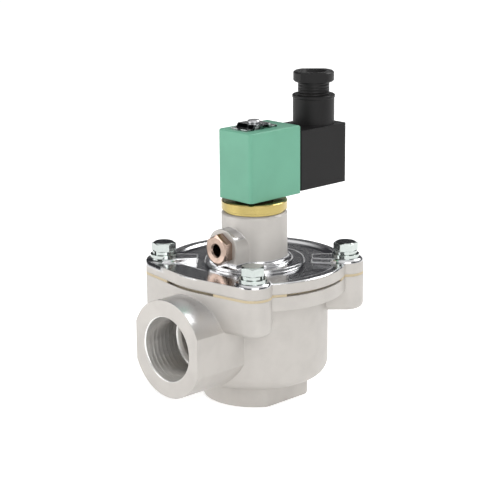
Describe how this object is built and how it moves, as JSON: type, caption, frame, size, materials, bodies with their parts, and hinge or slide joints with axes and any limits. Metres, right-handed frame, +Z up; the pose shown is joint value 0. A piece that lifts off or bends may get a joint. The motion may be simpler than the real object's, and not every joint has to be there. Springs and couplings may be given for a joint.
{
  "type": "pulse valve",
  "caption": "Right-angle diaphragm pulse valve with threaded ports, clamped bonnet, pilot solenoid coil and connector plug with cable gland.",
  "frame": {"origin": "centre of the outlet port's bottom face", "axes": "+Z up along the diaphragm axis, -Y out of the inlet port, +Y towards the plug"},
  "size_m": [0.0866, 0.1094, 0.1503],
  "materials": {
    "cast_aluminium": "matte shot-blasted die casting",
    "bright_aluminium": "polished die casting",
    "diaphragm_rubber": "fabric-reinforced moulding",
    "zinc_steel": "bright zinc plate",
    "bronze": "turned bronze",
    "brass": "turned brass",
    "stainless": "drawn and turned",
    "copper": "enamelled wire and solid ring",
    "spring_steel": "drawn wire",
    "coil_green": "moulded resin, satin",
    "plug_black": "moulded polyamide",
    "insert_grey": "moulded polyamide",
    "black_rubber": "moulded nitrile",
    "aluminium_plate": "pressed sheet"
  },
  "bodies": {
    "valve": {"valve_body": "cast_aluminium", "diaphragm": "diaphragm_rubber", "bonnet": "bright_aluminium", "flat_washers": "zinc_steel", "spring_washers": "zinc_steel", "bonnet_screws": "zinc_steel", "exhaust_fitting": "bronze", "pilot_seat": "stainless", "base_oring": "black_rubber", "solenoid_base": "brass", "core_tube": "stainless", "plugnut": "stainless", "shading_ring": "copper", "coil_washer": "black_rubber", "retaining_clip": "spring_steel", "main_spring": "spring_steel", "core_spring": "spring_steel"},
    "diaphragm_hub": {"support_plate": "aluminium_plate", "backing_washer": "aluminium_plate", "hub_stud": "stainless", "hub_nut": "stainless"},
    "plunger": {"plunger": "stainless", "plunger_seal": "black_rubber"},
    "coil_unit": {"coil_housing": "coil_green", "coil_bobbin": "plug_black", "coil_winding": "copper", "coil_yoke": "zinc_steel", "coil_terminals": "brass", "plug_gasket": "black_rubber", "plug_housing": "plug_black", "terminal_block": "insert_grey", "plug_screw": "zinc_steel", "gland_seal": "black_rubber"},
    "gland_washer": {"gland_washer": "insert_grey"},
    "gland_nut": {"gland_nut": "plug_black"}
  },
  "joints": [
    {"name": "diaphragm_lift", "type": "slide", "parent": "valve", "child": "diaphragm_hub", "axis": [0, 0, 1], "range_m": [0, 0.0052], "stiffness_N_per_m": 900, "springref_m": -0.004, "deforming": ["diaphragm", "main_spring"]},
    {"name": "plunger_lift", "type": "slide", "parent": "valve", "child": "plunger", "axis": [0, 0, 1], "range_m": [0, 0.0012], "stiffness_N_per_m": 200, "springref_m": -0.003, "deforming": ["core_spring"]},
    {"name": "coil_swivel", "type": "hinge", "parent": "valve", "child": "coil_unit", "pos_m": [0, 0, 0.112], "axis": [0, 0, 1], "continuous": true},
    {"name": "gland_press", "type": "slide", "parent": "coil_unit", "child": "gland_washer", "axis": [0, 0, 1], "range_m": [-0.00283, 0.00142], "deforming": ["gland_seal"]},
    {"name": "gland_turn", "type": "hinge", "parent": "gland_washer", "child": "gland_nut", "pos_m": [0, 0.0397, 0.143], "axis": [0, 0, 1], "range_deg": [-720, 360]}
  ],
  "couplings": [
    {"joint": "gland_press", "follows": "gland_turn", "m_per_rad": 0.00022441}
  ]
}
